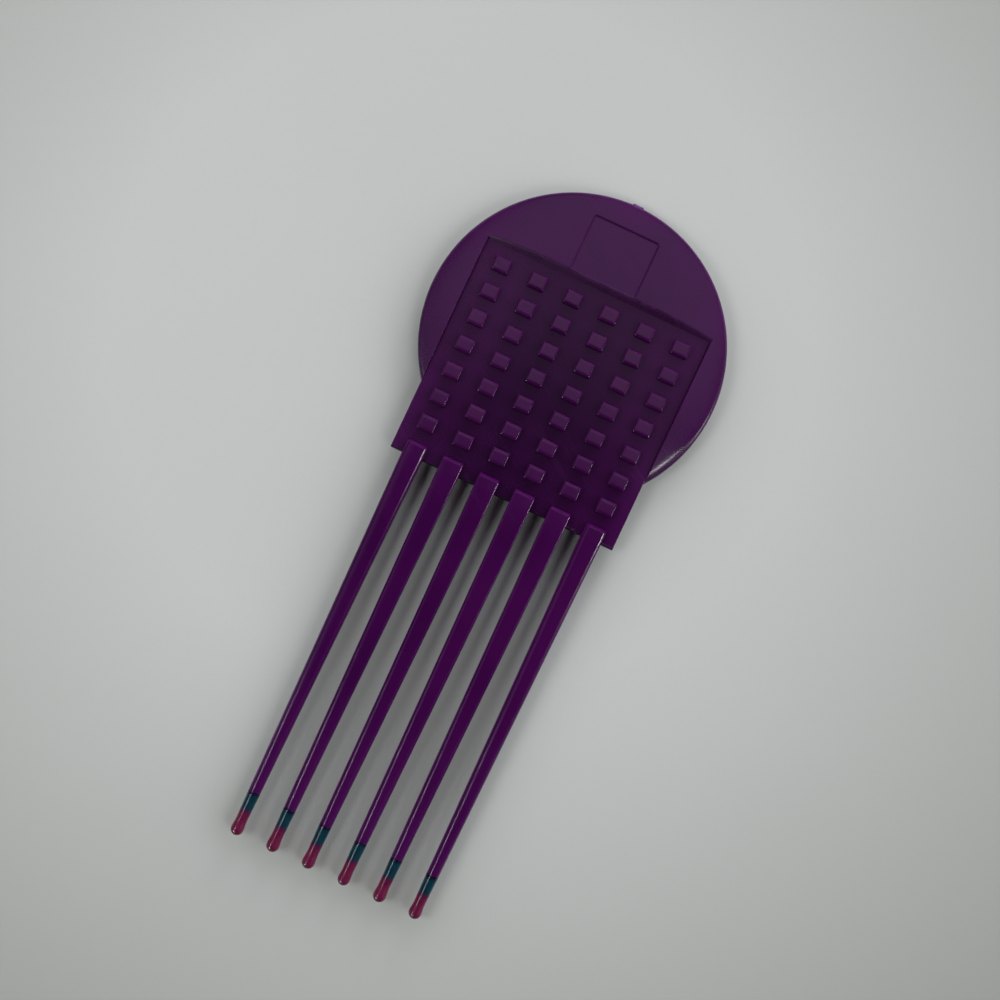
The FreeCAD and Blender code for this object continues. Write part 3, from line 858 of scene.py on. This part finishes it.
def coat_mesh(name, place, edge, end_y, radius_at, steps):
    """A closed shell round a tine end, from an uneven edge down to end_y."""
    points, cover = [], []
    for step in steps:
        for k in range(COAT_AROUND):
            angle = 2 * math.pi * k / COAT_AROUND
            start = edge(angle)
            y = start + (end_y - start) * step
            across = radius_at(y, start - y)
            points.append((place + across * math.cos(angle), y, MID + across * math.sin(angle)))
            cover.append(min((start - y) / PAINT_FADE, 1.0))
    faces = []
    for ring in range(len(steps) - 1):
        for k in range(COAT_AROUND):
            after = (k + 1) % COAT_AROUND
            base = ring * COAT_AROUND
            faces.append([base + k, base + after, base + COAT_AROUND + after, base + COAT_AROUND + k])
    last = len(points)
    points += [(place, sum(p[1] for p in points[:COAT_AROUND]) / COAT_AROUND, MID), (place, end_y, MID)]
    cover += [0.0, 1.0]
    for k in range(COAT_AROUND):
        after = (k + 1) % COAT_AROUND
        faces.append([last, after, k])
        faces.append([last + 1, last - COAT_AROUND + k, last - COAT_AROUND + after])
    mesh = bpy.data.meshes.new(name)
    mesh.from_pydata(points, [], faces)
    mesh.attributes.new("cover", "FLOAT", "POINT").data.foreach_set("value", cover)
    return mesh


def tine_radius(y):
    """Outer radius of a tine near its end, coats included but for their own step."""
    if y > BAND_START:
        return TINE_END_RADIUS + (y - BAND_START) * TINE_WIDENING
    return TINE_END_RADIUS - CORE_TAPER * (BAND_START - y) / (BAND_START - BAND_END)


def make_teal_coat(n, place):
    def edge(angle):
        return BAND_START + TEAL_RISE + uneven(angle, n + 1, TEAL_STRAY)

    def radius_at(y, below):
        return tine_radius(y) + PAINT_STEP * eased(below / TEAL_EDGE)

    mesh = coat_mesh(f"teal_dip_{n + 1}", place, edge, BAND_END - TEAL_UNDER_RED, radius_at, TEAL_RINGS)
    return new_piece(f"teal_dip_{n + 1}", mesh, teal_dip, 60)


def make_red_coat(n, place, chance):
    bead = TINE_END_RADIUS - CORE_TAPER + PAINT_STEP + BEAD_SWELL + chance.uniform(*BEAD_SWELL_STRAY)
    flare_end = TIP_END + bead
    flare_start = flare_end + BEAD_FLARE + chance.uniform(*BEAD_FLARE_STRAY)

    def edge(angle):
        return BAND_END + uneven(angle, n + 20, RED_STRAY)

    def radius_at(y, below):
        if y < flare_end:
            return math.sqrt(max(bead ** 2 - (flare_end - y) ** 2, 0.0))
        neck = tine_radius(y) + PAINT_STEP * (1 + eased(below / RED_EDGE))
        return neck + (bead - neck) * eased((flare_start - y) / (flare_start - flare_end))

    straight = (BAND_END - flare_end) / (BAND_END - TIP_END)
    steps = [straight * k / RED_RINGS for k in (0.0, 0.3, 0.7, 1.2, 2, 3, *range(4, RED_RINGS))]
    for k in range(BEAD_RINGS):
        steps.append(straight + (1 - straight) * math.sin(math.radians(90 / BEAD_RINGS * k)))
    mesh = coat_mesh(f"red_dip_{n + 1}", place, edge, TIP_END, radius_at, steps)
    return new_piece(f"red_dip_{n + 1}", mesh, red_dip, 60)


def make_pick():
    hand_over(make_grip_disc(), "handle_disc")
    hand_over(make_studded_plate(), "stud_plate")
    for n, tine in enumerate(make_tines()):
        hand_over(tine, f"tine_{n + 1}")
    chance = random.Random(COAT_SEED)
    for n, place in enumerate(TINE_PLACES):
        hand_over(make_teal_coat(n, place), f"teal_coat_{n + 1}")
        hand_over(make_red_coat(n, place, chance), f"red_tip_{n + 1}")


# Table, lights and camera

def make_table():
    mesh = bpy.data.meshes.new("table")
    quarters = ((-1, -1), (1, -1), (1, 1), (-1, 1))
    corners = [(x * TABLE_HALF, y * TABLE_HALF, cad_box[0][2]) for x, y in quarters]
    mesh.from_pydata(corners, [], [[0, 1, 2, 3]])
    table = new_piece("table", mesh, pale_table("pale_table"), 30)


def hang_lamp(lamp, target, azimuth, height_angle, distance, lights):
    """Hangs a lamp that faces a target. azimuth is counted from +X towards +Y."""
    turn = math.radians(azimuth)
    lift = math.radians(height_angle)
    way = Vector((math.cos(turn) * math.cos(lift), math.sin(turn) * math.cos(lift), math.sin(lift)))
    holder = bpy.data.objects.new(lamp.name, lamp)
    holder.location = target + distance * way
    holder.rotation_euler = (-distance * way).to_track_quat("-Z", "Y").to_euler()
    holder.visible_diffuse = lights == "body"
    holder.visible_glossy = lights == "gloss"
    bpy.context.scene.collection.objects.link(holder)


def add_soft_room():
    """A room that is brightest low on its walls, beyond the disc, and gives no highlights."""
    world = bpy.data.worlds.new("soft_room")
    world.use_nodes = True
    bpy.context.scene.world = world
    world.cycles_visibility.glossy = False
    tree = world.node_tree
    way = tree.nodes.new("ShaderNodeTexCoord").outputs["Generated"]
    toward_right, toward_disc, height = split(tree, way)
    low_band = between(tree, height, 0.0, 0.1) * between(tree, height, 0.3, 0.6).rest()
    wall_share = (between(tree, toward_disc, -0.6, 0.6) * 0.97 + 0.03) * (toward_right * 0.3 + 1.0)
    lit = low_band * wall_share * ROOM_STRENGTH
    seen = Number(tree, tree.nodes.new("ShaderNodeLightPath").outputs["Is Camera Ray"])
    background = tree.nodes["Background"]
    background.inputs["Color"].default_value = ROOM_WHITE
    plug(tree, background.inputs["Strength"], lit + (lit * -1.0 + BACKDROP_STRENGTH) * seen)


def add_lights():
    """A soft room, flat lamps for highlights or for light on the surfaces, and a spot on the rim."""
    add_soft_room()
    for name, azimuth, height_angle, distance, width, height, power, lights in SOFTBOXES:
        lamp = bpy.data.lights.new(name, "AREA")
        lamp.shape = "RECTANGLE"
        lamp.size = width
        lamp.size_y = height
        lamp.energy = power
        hang_lamp(lamp, Vector(), azimuth, height_angle, distance, lights)
    spot = bpy.data.lights.new("rim_spot", "SPOT")
    spot.energy = SPOT_POWER
    spot.shadow_soft_size = SPOT_SOURCE_RADIUS
    spot.spot_size = math.radians(SPOT_CONE)
    spot.spot_blend = 1.0
    hang_lamp(spot, SPOT_TARGET, SPOT_AZIMUTH, SPOT_HEIGHT_ANGLE, SPOT_DISTANCE, "gloss")


def add_camera():
    camera = bpy.data.cameras.new("overhead")
    camera.angle = VIEW_ANGLE
    camera.clip_start = 0.01
    holder = bpy.data.objects.new("overhead", camera)
    rise = VIEW_FIELD / 2 / math.tan(VIEW_ANGLE / 2)
    holder.location = (VIEW_CENTRE.x, VIEW_CENTRE.y, MID + rise)
    holder.rotation_euler = (0, 0, VIEW_TURN)
    bpy.context.scene.collection.objects.link(holder)
    bpy.context.scene.camera = holder


make_pick()
make_table()
add_lights()
add_camera()
bpy.context.scene.view_settings.view_transform = "Standard"
